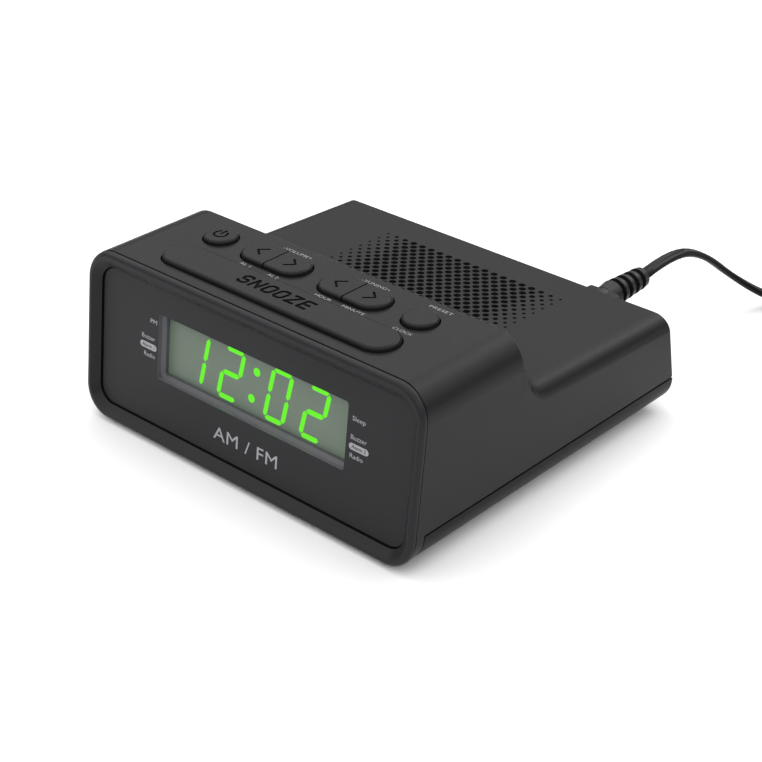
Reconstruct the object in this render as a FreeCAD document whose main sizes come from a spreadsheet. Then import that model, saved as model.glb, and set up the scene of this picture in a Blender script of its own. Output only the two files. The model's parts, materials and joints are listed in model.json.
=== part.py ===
# Clock radio, mm, +X to the right seen from the front, -Y to the front, +Z up.
# Origin: middle of the footprint, on the surface that the feet stand on.
import FreeCAD
import Part
import Sketcher
import math
import os

V = FreeCAD.Vector
doc = FreeCAD.newDocument("clock_radio")

# ------------------------------------------------------------------ sheet
sheet = doc.addObject("Spreadsheet::Sheet", "dims")
CELLS = [
    # cabinet
    ("body_width", 128.0), ("block_height", 51.5), ("body_depth", 117.6),
    ("foot_height", 1.2), ("wall", 2.2), ("front_lean", 7.0), ("half_depth", 59.0),
    ("block_depth", 46.0), ("block_corner", 9.0), ("block_top_corner", 9.6), ("deck_corner", 5.0),
    ("deck_front_height", 34.0), ("deck_fall", 2.4), ("step_fillet", 9.0), ("block_back_edge", 1.0),
    ("back_lean", 11.3), ("back_depth_low", 117.4), ("seam_height", 10.0), ("seam_gap", 0.6),
    ("strip_width", 3.0), ("tray_back_fillet", 6.0), ("tray_wall", 2.2),
    # bezel and front panel, measured square to the leaning front
    ("seam_offset", 2.0), ("bezel_gap", 0.25), ("bezel_round", 1.4), ("bezel_bevel_wide", 2.3),
    ("bezel_bevel_deep", 2.1), ("bezel_lip_depth", 5.2), ("face_height", 51.9),
    ("panel_low", 4.55), ("panel_high", 46.6), ("panel_width", 119.0), ("panel_corner", 5.0),
    ("panel_gap", 0.4), ("panel_sink", 2.7), ("panel_thick", 1.2), ("ledge_width", 2.0),
    ("window_left", -36.0), ("window_right", 37.0), ("window_low", 19.1), ("window_high", 39.0), ("window_corner", 0.9),
    ("display_sink", 6.0), ("holder_wall", 1.6), ("holder_step", 1.0), ("holder_back", 12.4), ("filter_thick", 0.5), ("module_thick", 3.9),
    ("digit_height", 16.5), ("digit_width", 6.85), ("digit_slant", 10.4), ("stroke", 1.5), ("digit_middle", 29.0), ("bar_gap", 0.2), ("dot_radius", 1.25),
    ("digit_one", -23.5), ("digit_two", -9.5), ("digit_three", 8.85), ("digit_four", 22.6), ("colon_middle", -0.43), ("colon_spread", 4.2),
    # buttons
    ("cap_gap", 0.4), ("cap_rise", 1.4), ("cap_round", 1.0), ("flange_wide", 0.75), ("flange_thick", 1.2), ("flange_drop", 0.3),
    ("row_depth", 34.4), ("power_mid", -38.5), ("volume_mid", -15.8), ("tuning_mid", 14.2), ("clock_mid", 37.5),
    ("round_hole_radius", 5.5), ("pill_length", 24.6), ("pill_width", 12.1), ("split_gap", 0.5),
    ("snooze_mid", -0.2), ("snooze_depth", 18.9), ("snooze_length", 87.0), ("snooze_width", 13.2),
    ("snooze_rise", 1.45), ("snooze_round", 1.05), ("engrave_depth", 0.35), ("engrave_width", 0.72), ("word_width", 0.98),
    ("stem_radius", 1.75), ("plunger_radius", 1.5), ("plunger_clearance", 0.06), ("switch_side", 6.0), ("switch_height", 3.5),
    # boards
    ("key_board_top", 42.8), ("board_thick", 1.6), ("key_board_half", 50.0), ("main_board_low", 7.0),
    # grille and speaker
    ("hole_radius", 1.12), ("hole_pitch_across", 3.569), ("hole_pitch_deep", 4.286), ("hole_first", -33.33), ("hole_last_row", 100.27),
    ("hole_rows", 21), ("hole_columns", 20), ("speaker_mid", 0.5), ("speaker_depth", 76.0), ("speaker_radius", 28.5), ("speaker_height", 16.5),
    # cord
    ("cord_across", 4.2), ("cord_thick", 2.2), ("relief_side", 37.5), ("relief_height", 26.5), ("relief_length", 18.5),
    ("coil_inner", 18.3), ("coil_outer", 31.8), ("coil_low", 0.5), ("coil_high", 9.95), ("coil_side", 92.0), ("coil_back", 138.0),
]
for i, (name, value) in enumerate(CELLS):
    sheet.set("A%d" % (i + 2), name)
    sheet.set("B%d" % (i + 2), repr(value))
    sheet.setAlias("B%d" % (i + 2), name)
doc.recompute()


def val(e):
    """The number that an expression over the sheet gives."""
    if isinstance(e, (int, float)):
        return float(e)
    r = sheet.evalExpression(e)
    return float(getattr(r, "Value", r))


def ex(e):
    return e if isinstance(e, str) else repr(float(e))


def dim(name):
    return val("dims." + name)


# ------------------------------------------------------------------ helpers
def place(o, x=0, y=0, z=0):
    o.setExpression("Placement.Base.x", ex(x))
    o.setExpression("Placement.Base.y", ex(y))
    o.setExpression("Placement.Base.z", ex(z))
    return o


def box(label, x, y, z):
    o = doc.addObject("Part::Box", label)
    o.Label = label
    for prop, (a, b) in (("Length", x), ("Width", y), ("Height", z)):
        o.setExpression(prop, "(%s)-(%s)" % (ex(b), ex(a)))
    return place(o, x[0], y[0], z[0])


def cyl(label, r, high, at, axis="z"):
    o = doc.addObject("Part::Cylinder", label)
    o.Label = label
    if axis == "x":
        o.Placement = FreeCAD.Placement(V(0, 0, 0), FreeCAD.Rotation(V(0, 1, 0), 90))
    if axis == "y":
        o.Placement = FreeCAD.Placement(V(0, 0, 0), FreeCAD.Rotation(V(1, 0, 0), -90))
    o.setExpression("Radius", ex(r))
    o.setExpression("Height", ex(high))
    return place(o, *at)


def cone(label, r1, r2, high, at, axis="z"):
    o = doc.addObject("Part::Cone", label)
    o.Label = label
    if axis == "y":
        o.Placement = FreeCAD.Placement(V(0, 0, 0), FreeCAD.Rotation(V(1, 0, 0), -90))
    o.setExpression("Radius1", ex(r1))
    o.setExpression("Radius2", ex(r2))
    o.setExpression("Height", ex(high))
    return place(o, *at)


def cut(label, a, b):
    o = doc.addObject("Part::Cut", label)
    o.Label = label
    o.Base, o.Tool = a, b
    return o


def fuse(label, parts):
    o = doc.addObject("Part::MultiFuse", label)
    o.Label = label
    o.Shapes = parts
    o.Refine = True
    return o


def common(label, a, b):
    o = doc.addObject("Part::MultiCommon", label)
    o.Label = label
    o.Shapes = [a, b]
    return o


def group(label, parts):
    """Separate solids in one node."""
    o = doc.addObject("Part::Compound", label)
    o.Label = label
    o.Links = parts
    return o


def plane_of(body, role):
    return [f for f in body.Origin.OriginFeatures if f.Role == role][0]


def rounded(sk, cx, cy, w, d, r, top=None):
    """A rounded rectangle, fully constrained, its sizes bound to the sheet; top is the far corners' own radius."""
    a, b, ww, dd, rr = val(cx), val(cy), val(w), val(d), val(r)
    tt = rr if top is None else val(top)
    x0, x1, y0, y1 = a - ww / 2, a + ww / 2, b - dd / 2, b + dd / 2
    n = sk.GeometryCount
    g = [
        Part.LineSegment(V(x0 + rr, y0, 0), V(x1 - rr, y0, 0)),
        Part.LineSegment(V(x1, y0 + rr, 0), V(x1, y1 - tt, 0)),
        Part.LineSegment(V(x1 - tt, y1, 0), V(x0 + tt, y1, 0)),
        Part.LineSegment(V(x0, y1 - tt, 0), V(x0, y0 + rr, 0)),
        Part.ArcOfCircle(Part.Circle(V(x1 - rr, y0 + rr, 0), V(0, 0, 1), rr), -math.pi / 2, 0),
        Part.ArcOfCircle(Part.Circle(V(x1 - tt, y1 - tt, 0), V(0, 0, 1), tt), 0, math.pi / 2),
        Part.ArcOfCircle(Part.Circle(V(x0 + tt, y1 - tt, 0), V(0, 0, 1), tt), math.pi / 2, math.pi),
        Part.ArcOfCircle(Part.Circle(V(x0 + rr, y0 + rr, 0), V(0, 0, 1), rr), math.pi, 1.5 * math.pi),
    ]
    sk.addGeometry(g, False)
    C = Sketcher.Constraint
    c = []
    for k in range(4):
        c.append(C("Tangent", n + k, 2, n + 4 + k, 1))
        c.append(C("Tangent", n + 4 + k, 2, n + (k + 1) % 4, 1))
    c += [C("Horizontal", n), C("Vertical", n + 1), C("Horizontal", n + 2), C("Vertical", n + 3)]
    c += [C("Equal", n + 4, n + 7), C("Equal", n + 5, n + 6)]
    if top is None:
        c.append(C("Equal", n + 4, n + 5))
    sk.addConstraint(c)
    if top is not None:
        i = sk.addConstraint(C("Radius", n + 5, tt))
        sk.setExpression("Constraints[%d]" % i, ex(top))
    for kind, args, e in (
        ("Radius", (n + 4,), ex(r)),
        ("DistanceX", (n + 3, 2, n + 1, 1), ex(w)),
        ("DistanceY", (n, 1, n + 2, 2), ex(d)),
        ("DistanceX", (-1, 1, n + 3, 2), "(%s)-(%s)/2" % (ex(cx), ex(w))),
        ("DistanceY", (-1, 1, n, 1), "(%s)-(%s)/2" % (ex(cy), ex(d))),
    ):
        i = sk.addConstraint(C(kind, *args, val(e)))
        sk.setExpression("Constraints[%d]" % i, e)


def circle(sk, cx, cy, r):
    n = sk.addGeometry(Part.Circle(V(val(cx), val(cy), 0), V(0, 0, 1), val(r)), False)
    C = Sketcher.Constraint
    for kind, args, e in (
        ("Radius", (n,), ex(r)),
        ("DistanceX", (-1, 1, n, 3), ex(cx)),
        ("DistanceY", (-1, 1, n, 3), ex(cy)),
    ):
        i = sk.addConstraint(C(kind, *args, val(e)))
        sk.setExpression("Constraints[%d]" % i, e)


def polygon(sk, pts):
    n = sk.GeometryCount
    q = [V(val(a), val(b), 0) for a, b in pts]
    k = len(q)
    sk.addGeometry([Part.LineSegment(q[i], q[(i + 1) % k]) for i in range(k)], False)
    C = Sketcher.Constraint
    for i in range(k):
        sk.addConstraint(C("Coincident", n + i, 2, n + (i + 1) % k, 1))
    for i, (a, b) in enumerate(pts):
        for kind, e in (("DistanceX", ex(a)), ("DistanceY", ex(b))):
            j = sk.addConstraint(C(kind, -1, 1, n + i, 1, val(e)))
            sk.setExpression("Constraints[%d]" % j, e)


def new_body(label):
    b = doc.addObject("PartDesign::Body", label)
    b.Label = label
    return b


def sketch(body, role, outlines, offset=0):
    sk = body.newObject("Sketcher::SketchObject", body.Name + "_sketch")
    sk.AttachmentSupport = (plane_of(body, role), [""])
    sk.MapMode = "FlatFace"
    if offset != 0:
        sk.setExpression("AttachmentOffset.Base.z", ex(offset))
    for o in outlines:
        {"rounded": rounded, "circle": circle, "polygon": polygon}[o[0]](sk, *o[1:])
    return sk


def pad(body, role, outlines, length, offset=0, flip=False):
    sk = sketch(body, role, outlines, offset)
    p = body.newObject("PartDesign::Pad", body.Name + "_pad")
    p.Profile = sk
    p.setExpression("Length", ex(length))
    p.Reversed = flip
    sk.Visibility = False
    body.Tip = p
    return p


def pocket(body, role, outlines, length, offset=0, flip=False):
    before = None
    doc.recompute()
    before = body.Shape.Volume
    sk = sketch(body, role, outlines, offset)
    p = body.newObject("PartDesign::Pocket", body.Name + "_pocket")
    p.Profile = sk
    p.setExpression("Length", ex(length))
    p.Reversed = flip
    body.Tip = p
    doc.recompute()
    if not body.Shape.Volume < before - 1e-6:
        raise RuntimeError("pocket cut nothing in " + body.Label)
    return p


def names(shape, test):
    return ["Edge%d" % (i + 1) for i, e in enumerate(shape.Edges) if test(e)]


def dress(body, kind, test, size):
    doc.recompute()
    tip = body.Tip
    found = names(tip.Shape, test)
    if not found:
        raise RuntimeError("no edges to dress in " + body.Label)
    f = body.newObject("PartDesign::" + kind, body.Name + "_" + kind.lower())
    f.Base = (tip, found)
    if kind == "Fillet":
        f.setExpression("Radius", ex(size))
    else:
        f.setExpression("Size", ex(size))
    body.Tip = f
    doc.recompute()
    return f


def level(e, z, tol=1e-4):
    b = e.BoundBox
    return abs(b.ZMin - z) < tol and abs(b.ZMax - z) < tol


def leaning(o, y, z=0):
    """Stands a flat-modelled piece on the leaning front: local Y up the face, local Z outward."""
    o.Placement = FreeCAD.Placement(V(0, 0, 0), FreeCAD.Rotation(V(1, 0, 0), 90 - dim("front_lean")))
    o.setExpression("Placement.Rotation.Angle", "90 - dims.front_lean")
    return place(o, 0, y, z)


Y0 = "-dims.half_depth"          # the front-bottom edge
Z0 = "dims.foot_height"          # the underside of the cabinet
LOOSE = "dims.cap_gap"
nodes = []


def node(o):
    nodes.append(o)
    return o


def solid_feature(label, shape):
    o = doc.addObject("Part::Feature", label)
    o.Label = label
    o.Shape = shape
    o.Placement = FreeCAD.Placement(V(0, 0, 0), FreeCAD.Rotation())
    return o


def strokes(lines, width, low, high):
    """Round-ended slots along polylines, as one shape."""
    out = []
    for line in lines:
        for (ax, ay), (bx, by) in zip(line[:-1], line[1:]):
            size = math.hypot(bx - ax, by - ay)
            turn = math.degrees(math.atan2(by - ay, bx - ax))
            s = Part.makeBox(size, width, high - low, V(0, -width / 2, 0))
            s = s.fuse(Part.makeCylinder(width / 2, high - low, V(size, 0, 0)))
            s = s.fuse(Part.makeCylinder(width / 2, high - low, V(0, 0, 0)))
            s.rotate(V(0, 0, 0), V(0, 0, 1), turn)
            s.translate(V(ax, ay, low))
            out.append(s)
    s = out[0]
    if len(out) > 1:
        s = s.multiFuse(out[1:])
    return s.removeSplitter()


# ------------------------------------------------------------------ cabinet envelopes
def block(label, inset, low, far):
    """The tall front block as a full-height prism, its walls moved in by inset."""
    b = new_body(label)
    pad(b, "XZ_Plane", [("rounded", 0, "dims.block_height/2",
        "dims.body_width-2*(%s)" % inset, "dims.block_height-2*(%s)" % inset, "dims.block_corner-(%s)" % inset,
        "dims.block_top_corner-(%s)" % inset)], "(%s)-(%s)" % (far, low), flip=True)
    return place(b, 0, "(%s)+(%s)" % (Y0, low), Z0)


def deck(label, inset, low, far):
    """The low rear deck: its top falls to the back, so the whole prism is tipped."""
    b = new_body(label)
    pad(b, "XZ_Plane", [("rounded", 0, "-45/2-(%s)" % inset, "dims.body_width-2*(%s)" % inset, 45,
        "dims.deck_corner-(%s)" % inset)], "(%s)-(%s)" % (far, low), flip=True)
    b.Placement = FreeCAD.Placement(V(0, 0, 0), FreeCAD.Rotation(V(1, 0, 0), -dim("deck_fall")))
    b.setExpression("Placement.Rotation.Angle", "-dims.deck_fall")
    return place(b, 0, "(%s)+(%s)" % (Y0, low),
                 "%s + dims.deck_front_height + (dims.block_depth-(%s))*tan(dims.deck_fall)" % (Z0, low))


def behind(label, offset, lean):
    """Everything behind the leaning front plane that passes offset behind the front-bottom edge."""
    o = doc.addObject("Part::Box", label)
    o.Label = label
    o.Length, o.Width, o.Height = 200, 200, 200
    o.Placement = FreeCAD.Placement(V(-100, 0, 0), FreeCAD.Rotation(V(1, 0, 0), -dim(lean)))
    o.setExpression("Placement.Rotation.Angle", "-dims.%s" % lean)
    # the corner sits 60 mm below the base, on the same plane
    return place(o, -100, "(%s)+(%s)-60*tan(dims.%s)" % (Y0, offset, lean), "(%s)-60" % Z0)


def ahead(label, depth, lean):
    """Everything ahead of the leaning back plane that is at that depth at the seam's height."""
    o = doc.addObject("Part::Box", label)
    o.Label = label
    o.Length, o.Width, o.Height = 200, 200, 200
    o.Placement = FreeCAD.Placement(V(-100, 0, 0), FreeCAD.Rotation(V(1, 0, 0), dim(lean)))
    o.setExpression("Placement.Rotation.Angle", "dims.%s" % lean)
    return place(o, -100,
                 "(%s)+(%s)+(60+dims.seam_height)*tan(dims.%s)-200*cos(dims.%s)" % (Y0, depth, lean, lean),
                 "(%s)-60-200*sin(dims.%s)" % (Z0, lean))


SEAM = "dims.seam_offset/cos(dims.front_lean)"
outer_block = block("outer_block", "0", "-20", "dims.block_depth")
inner_block = block("inner_block", "dims.wall", "-22", "dims.block_depth-dims.wall")
outer_deck = deck("outer_deck", "0", "30", "140")
inner_deck = deck("inner_deck", "dims.wall", "28", "140")
doc.recompute()


# the block's back edge is eased all round; the deck covers its lower half
outer_edges = names(outer_block.Tip.Shape, lambda e: abs(e.BoundBox.YMin - e.BoundBox.YMax) < 1e-4
                    and abs(e.BoundBox.YMax - outer_block.Tip.Shape.BoundBox.YMax) < 1e-4)
plain = outer_block.Tip
f = outer_block.newObject("PartDesign::Fillet", "block_back_round")
f.Base = (plain, outer_edges)
f.setExpression("Radius", "dims.block_back_edge")
outer_block.Tip = f
doc.recompute()
print("outer block", outer_block.Shape.BoundBox)
print("inner block", inner_block.Shape.BoundBox)
print("outer deck", outer_deck.Shape.BoundBox)

# ------------------------------------------------------------------ upper housing
raw_outer = fuse("raw_outer", [outer_block, outer_deck])
doc.recompute()
step_y, step_z = val(Y0) + dim("block_depth"), val(Z0) + dim("deck_front_height")


# where the deck meets the block's back wall the corner is a hollow round, carried
# round the deck's own corners until it runs out at the flush side walls
DECK_TURN = FreeCAD.Rotation(V(1, 0, 0), -dim("deck_fall"))
hollow, corner, flat = dim("step_fillet"), dim("deck_corner"), dim("body_width") / 2 - dim("deck_corner")
q = [V(flat, -0.9, -0.6), V(flat, -0.9, hollow), V(flat, 0, hollow), V(flat, hollow, 0), V(flat, hollow, -0.6)]
mid = V(flat, hollow - hollow * math.cos(math.pi / 4), hollow - hollow * math.sin(math.pi / 4))
edges = [Part.LineSegment(q[0], q[1]).toShape(), Part.LineSegment(q[1], q[2]).toShape(),
         Part.Arc(q[2], mid, q[3]).toShape(), Part.LineSegment(q[3], q[4]).toShape(), Part.LineSegment(q[4], q[0]).toShape()]
section = Part.Face(Part.Wire(edges))
straight = section.extrude(V(-2 * flat, 0, 0))
right_turn = section.revolve(V(flat, 0, -corner), V(0, 1, 0), 90)
left_turn = right_turn.mirror(V(0, 0, 0), V(1, 0, 0))
hollow_shape = straight.multiFuse([right_turn, left_turn])
hollow_shape = hollow_shape.common(Part.makeBox(dim("body_width"), 24, 26, V(-dim("body_width") / 2, -5, -12)))
step_round = doc.addObject("Part::Feature", "step_round")
step_round.Label = "step_round"
step_round.Shape = hollow_shape
step_round.Placement = FreeCAD.Placement(V(0, step_y, step_z), DECK_TURN)
rounded_step = fuse("rounded_step", [raw_outer, step_round])
doc.recompute()
print("step", rounded_step.Shape.isValid(), rounded_step.Shape.Volume - raw_outer.Shape.Volume, rounded_step.Shape.BoundBox)

inner_all = fuse("inner_all", [inner_block, inner_deck])
behind_seam = behind("behind_seam", SEAM, "front_lean")
behind_strip = behind("behind_strip", "(dims.seam_offset+dims.strip_width)/cos(dims.front_lean)", "front_lean")
ahead_back = ahead("ahead_back", "dims.back_depth_low", "back_lean")
ahead_inner = ahead("ahead_inner", "dims.back_depth_low-dims.wall", "back_lean")
cavity = common("cavity", inner_all, ahead_inner)
crust = common("crust_front", rounded_step, behind_seam)
crust = common("crust_back", crust, ahead_back)
shell = cut("shell", crust, cavity)

# the front strip goes all the way round; behind it the shell ends at the seam
under = box("under_seam", (-100, 100), (Y0 + "-20", Y0 + "+200"), ("-50", "%s+dims.seam_height" % Z0))
under_cut = common("under_cut", under, behind_strip)
open_shell = cut("open_shell", shell, under_cut)
# the strip keeps the cabinet's bottom corners
strip_env = block("strip_envelope", "0", "-20", "140")
keep_low = box("keep_low", (-100, 100), (Y0 + "-40", Y0 + "+200"), ("%s+dims.seam_height-2" % Z0, 200))
trim_low = fuse("trim_low", [strip_env, keep_low])
trimmed_shell = common("trimmed_shell", open_shell, trim_low)

# inside: bosses for the cabinet screws, posts for the key board and the speaker
ROOF = "%s+dims.block_height-dims.wall+0.5" % Z0
boss_parts = []
for sx, tag in ((-1, "left"), (1, "right")):
    boss_parts.append(cyl("front_boss_" + tag, 3.2, "dims.block_height-dims.wall+0.5-(dims.seam_height+0.6)", (54 * sx, Y0 + "+27", "%s+dims.seam_height+0.6" % Z0)))
    boss_parts.append(cyl("rear_boss_" + tag, 3.2, "30.0-(dims.seam_height+0.6)", (54 * sx, Y0 + "+97", "%s+dims.seam_height+0.6" % Z0)))
    for d, word in ((16.0, "front"), (41.4, "rear")):
        boss_parts.append(cyl("key_post_%s_%s" % (word, tag), 2.2, "dims.block_height-dims.wall+0.5-dims.key_board_top", (47.5 * sx, "%s+%s" % (Y0, d), "%s+dims.key_board_top" % Z0)))
boss_holes = []
for sx, tag in ((-1, "left"), (1, "right")):
    boss_holes.append(cyl("front_pilot_" + tag, 1.3, 16, (54 * sx, Y0 + "+27", "%s+dims.seam_height" % Z0)))
    boss_holes.append(cyl("rear_pilot_" + tag, 1.3, 14, (54 * sx, Y0 + "+97", "%s+dims.seam_height" % Z0)))
    for d, word in ((16.0, "front"), (41.4, "rear")):
        boss_holes.append(cyl("key_pilot_%s_%s" % (word, tag), 0.9, 4.5, (47.5 * sx, "%s+%s" % (Y0, d), "%s+dims.key_board_top-0.5" % Z0)))

# the deck's plane: a local frame at the step, tipped with the deck


def on_deck(o, x, d, drop):
    """Puts a piece modelled upright onto the deck: depth d from the front edge, drop below its top face."""
    o.Placement = FreeCAD.Placement(V(0, 0, 0), DECK_TURN)
    o.setExpression("Placement.Rotation.Angle", "-dims.deck_fall")
    run = "((%s)-dims.block_depth)/cos(dims.deck_fall)" % ex(d)
    o.setExpression("Placement.Base.x", ex(x))
    o.setExpression("Placement.Base.y", "%s+dims.block_depth+(%s)*cos(dims.deck_fall)-(%s)*sin(dims.deck_fall)" % (Y0, run, ex(drop)))
    o.setExpression("Placement.Base.z", "%s+dims.deck_front_height-(%s)*sin(dims.deck_fall)-(%s)*cos(dims.deck_fall)" % (Z0, run, ex(drop)))
    return o


SPK = ("dims.speaker_mid", "dims.speaker_depth")
for k, turn in enumerate((30, 150, 270)):
    px = dim("speaker_mid") + 30.7 * math.cos(math.radians(turn))
    pd = dim("speaker_depth") + 30.7 * math.sin(math.radians(turn))
    c = cyl("speaker_post_%d" % (k + 1), 1.9, "dims.wall+0.4", (0, 0, 0))
    boss_parts.append(on_deck(c, px, pd, "dims.wall+1.4"))
    c2 = cyl("speaker_pilot_%d" % (k + 1), 0.9, 2.6, (0, 0, 0))
    boss_holes.append(on_deck(c2, px, pd, "dims.wall+1.5"))
doc.recompute()

# a rounded boss on the back wall carries the cord's strain relief
cord_boss = new_body("cord_boss")
pad(cord_boss, "XZ_Plane", [("rounded", 0, 0, 13.6, 11.4, 3.0)], 4.8, flip=True)
place(cord_boss, "dims.relief_side", "%s+113.2" % Y0, "%s+dims.relief_height-2.7" % Z0)

solid_shell = fuse("solid_shell", [trimmed_shell, cord_boss] + boss_parts)
pilot = doc.addObject("Part::MultiFuse", "pilot_holes")
pilot.Label = "pilot_holes"
pilot.Shapes = boss_holes

# openings for the buttons
button_cutter = new_body("button_cutter")
FULL = "dims.pill_width/2-0.02"
pad(button_cutter, "XY_Plane", [
    ("circle", "dims.power_mid", "dims.row_depth", "dims.round_hole_radius"),
    ("circle", "dims.clock_mid", "dims.row_depth", "dims.round_hole_radius"),
    ("rounded", "dims.volume_mid", "dims.row_depth", "dims.pill_length", "dims.pill_width", FULL),
    ("rounded", "dims.tuning_mid", "dims.row_depth", "dims.pill_length", "dims.pill_width", FULL),
    ("rounded", "dims.snooze_mid", "dims.snooze_depth", "dims.snooze_length", "dims.snooze_width", "dims.snooze_width/2-0.02"),
], 10)
place(button_cutter, 0, Y0, "%s+dims.block_height-6" % Z0)

# the speaker holes: staggered rows, the holes at both ends smaller
holes = []
across, deep = dim("hole_pitch_across"), dim("hole_pitch_deep") / 2
cols = int(dim("hole_columns"))
for j in range(int(dim("hole_rows"))):
    d = dim("hole_last_row") - j * deep
    shift = 0.5 if j % 2 else 0.0
    for i in range(cols - (j % 2)):
        k = i + shift
        edge = min(k, cols - 1 - k)
        r = dim("hole_radius") * (0.42 + 0.58 * min(1.0, edge / 3.0))
        run = (d - dim("block_depth")) / math.cos(math.radians(dim("deck_fall")))
        holes.append((dim("hole_first") + across * k, run, r))
wires = []
for x, run, r in holes:
    wires.append(Part.Face(Part.Wire(Part.makeCircle(r, V(x, run, -6)))))
bores = Part.makeCompound(wires).extrude(V(0, 0, 12))
hole_cutter = doc.addObject("Part::Feature", "hole_cutter")
hole_cutter.Label = "hole_cutter"
hole_cutter.Shape = bores
hole_cutter.Placement = FreeCAD.Placement(V(0, val(Y0) + dim("block_depth"), step_z), DECK_TURN)

relief_hole = cyl("relief_hole", 3.6, 14, ("dims.relief_side", "%s+108" % Y0, "%s+dims.relief_height" % Z0), axis="y")
doc.recompute()
cut1 = cut("shell_with_pilots", solid_shell, pilot)
cut2 = cut("shell_with_buttons", cut1, button_cutter)
cut3 = cut("shell_with_relief", cut2, relief_hole)
upper_housing = node(cut("upper_housing", cut3, hole_cutter))
doc.recompute()
print("upper housing", upper_housing.Shape.BoundBox, upper_housing.Shape.isValid(), len(upper_housing.Shape.Solids), upper_housing.Shape.Volume)

# ------------------------------------------------------------------ lower housing
def side_profile(label, inset):
    """A prism along X whose lower back edge is rounded."""
    b = new_body(label)
    pad(b, "YZ_Plane", [("rounded", "dims.body_depth-(%s)-100" % inset, "50+(%s)" % inset, 200, 100, "dims.tray_back_fillet-(%s)" % inset)], 160)
    return place(b, -80, Y0, Z0)


tray_out = common("tray_out", block("tray_block", "0", "-20", "dims.body_depth"), side_profile("tray_side", "0"))
tray_in = common("tray_in", block("tray_block_inner", "dims.tray_wall", "-22", "dims.body_depth-dims.tray_wall"), side_profile("tray_side_inner", "dims.tray_wall"))
tray_hollow = cut("tray_hollow", tray_out, tray_in)
tray_low = box("tray_low", (-80, 80), (Y0 + "-30", Y0 + "+160"), (Z0 + "-5", Z0 + "+dims.seam_height-dims.seam_gap"))
behind_tray = behind("behind_tray", "(dims.seam_offset+dims.strip_width+0.35)/cos(dims.front_lean)", "front_lean")
tray_a = common("tray_a", common("tray_b", tray_hollow, tray_low), behind_tray)

lip_low = common("lip_low", cut("lip_low_ring", block("lip_low_out", "1.6", "-20", "dims.body_depth-1.6"), block("lip_low_in", "4.0", "-22", "dims.body_depth-4.0")),
                 box("lip_low_box", (-80, 80), (Y0 + "+9", Y0 + "+160"), (Z0 + "+6.5", Z0 + "+9.4")))
lip_high = common("lip_high", cut("lip_high_ring", block("lip_high_out", "2.45", "-20", "114.7"), block("lip_high_in", "3.5", "-22", "113.6")),
                  box("lip_high_box", (-80, 80), (Y0 + "+9", Y0 + "+160"), (Z0 + "+9.3", Z0 + "+11.4")))

tray_adds = [lip_low, lip_high]
tray_cuts = []
for sx, side in ((-1, "left"), (1, "right")):
    for d, word in ((27, "front"), (97, "rear")):
        at = (54 * sx, "%s+%s" % (Y0, d))
        tray_adds.append(cyl("tray_boss_%s_%s" % (word, side), 4.4, 9.2, at + (Z0 + "+1.2",)))
        tray_cuts.append(cyl("tray_bore_%s_%s" % (word, side), 1.7, 20, at + (Z0 + "-5",)))
        tray_cuts.append(cyl("tray_sink_%s_%s" % (word, side), 3.1, 9.2, at + (Z0 + "-5",)))
    for d, word in ((54, "front"), (96, "rear")):
        at = (44 * sx, "%s+%s" % (Y0, d))
        tray_adds.append(cyl("board_post_%s_%s" % (word, side), 2.5, "dims.main_board_low-1.5", at + (Z0 + "+1.5",)))
        tray_cuts.append(cyl("board_pilot_%s_%s" % (word, side), 1.15, 5, at + (Z0 + "+2.6",)))
for d, word in ((16.6, "front"), (41.2, "rear")):
    at = (-30.5, "%s+%s" % (Y0, d))
    tray_adds.append(cyl("transformer_post_" + word, 2.4, 3.5, at + (Z0 + "+1.5",)))
    tray_cuts.append(cyl("transformer_pilot_" + word, 1.15, 3, at + (Z0 + "+2.4",)))
for x, d, word in ((-50, 12, "fl"), (50, 12, "fr"), (-48, 107, "rl"), (48, 107, "rr")):
    tray_cuts.append(cyl("foot_seat_" + word, 4.15, 5.6, (x, "%s+%s" % (Y0, d), Z0 + "-5")))
    tray_adds.append(cyl("foot_pad_" + word, 5.2, 1.2, (x, "%s+%s" % (Y0, d), Z0 + "+1.6")))
# the battery bay opens downward
tray_adds.append(box("bay_walls", (-1.5, 47.5), (Y0 + "+16.5", Y0 + "+42.5"), (Z0 + "+1.0", Z0 + "+15")))
tray_cuts.append(box("bay_space", (0, 46), (Y0 + "+18", Y0 + "+41"), (Z0 + "-5", Z0 + "+13.5")))
bay_ledges = [box("bay_ledge_left", (-0.5, 1.6), (Y0 + "+20", Y0 + "+39"), (Z0 + "+2.1", Z0 + "+3.1")),
              box("bay_ledge_right", (44.4, 46.5), (Y0 + "+20", Y0 + "+39"), (Z0 + "+2.1", Z0 + "+3.1"))]
for k in range(6):
    tray_cuts.append(box("vent_%d" % (k + 1), (-44, -37), ("%s+%s" % (Y0, 20 + 3.4 * k), "%s+%s" % (Y0, 21.5 + 3.4 * k)), (Z0 + "-5", Z0 + "+5")))
    tray_cuts.append(box("vent_%d" % (k + 11), (-24, -17), ("%s+%s" % (Y0, 20 + 3.4 * k), "%s+%s" % (Y0, 21.5 + 3.4 * k)), (Z0 + "-5", Z0 + "+5")))
tray_full = fuse("tray_full", [tray_a] + tray_adds)
tray_tools = doc.addObject("Part::MultiFuse", "tray_tools")
tray_tools.Label = "tray_tools"
tray_tools.Shapes = tray_cuts
lower_housing = node(fuse("lower_housing", [cut("tray_cut", tray_full, tray_tools)] + bay_ledges))
doc.recompute()
print("lower housing", lower_housing.Shape.isValid(), len(lower_housing.Shape.Solids), lower_housing.Shape.Volume)

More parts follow.
